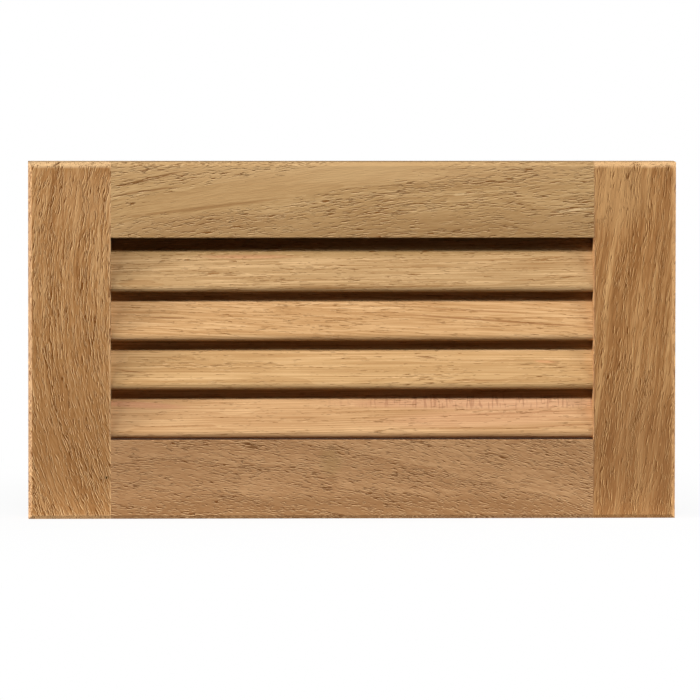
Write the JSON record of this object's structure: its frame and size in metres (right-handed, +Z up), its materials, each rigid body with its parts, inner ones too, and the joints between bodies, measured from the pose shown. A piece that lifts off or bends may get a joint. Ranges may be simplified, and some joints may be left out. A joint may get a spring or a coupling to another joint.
{
  "type": "louvered vent insert",
  "caption": "Flat wooden vent insert: a chamfered frame of stiles and rails round fixed, overlapping slats that slope down to the front, letting air through and blocking the view.",
  "frame": {"origin": "under the middle of the bottom edge, half way through the frame's thickness", "axes": "+X to the right as seen from the front, +Y from the front face to the back, +Z up as installed"},
  "size_m": [0.381, 0.022, 0.21],
  "materials": {
    "frame_wood": "bare sanded teak",
    "slat_wood": "bare sanded teak, paler"
  },
  "bodies": {
    "root": {"left_stile": "frame_wood", "right_stile": "frame_wood", "top_rail": "frame_wood", "bottom_rail": "frame_wood", "slat_1": "slat_wood", "slat_2": "slat_wood", "slat_3": "slat_wood", "slat_4": "slat_wood"}
  },
  "joints": []
}
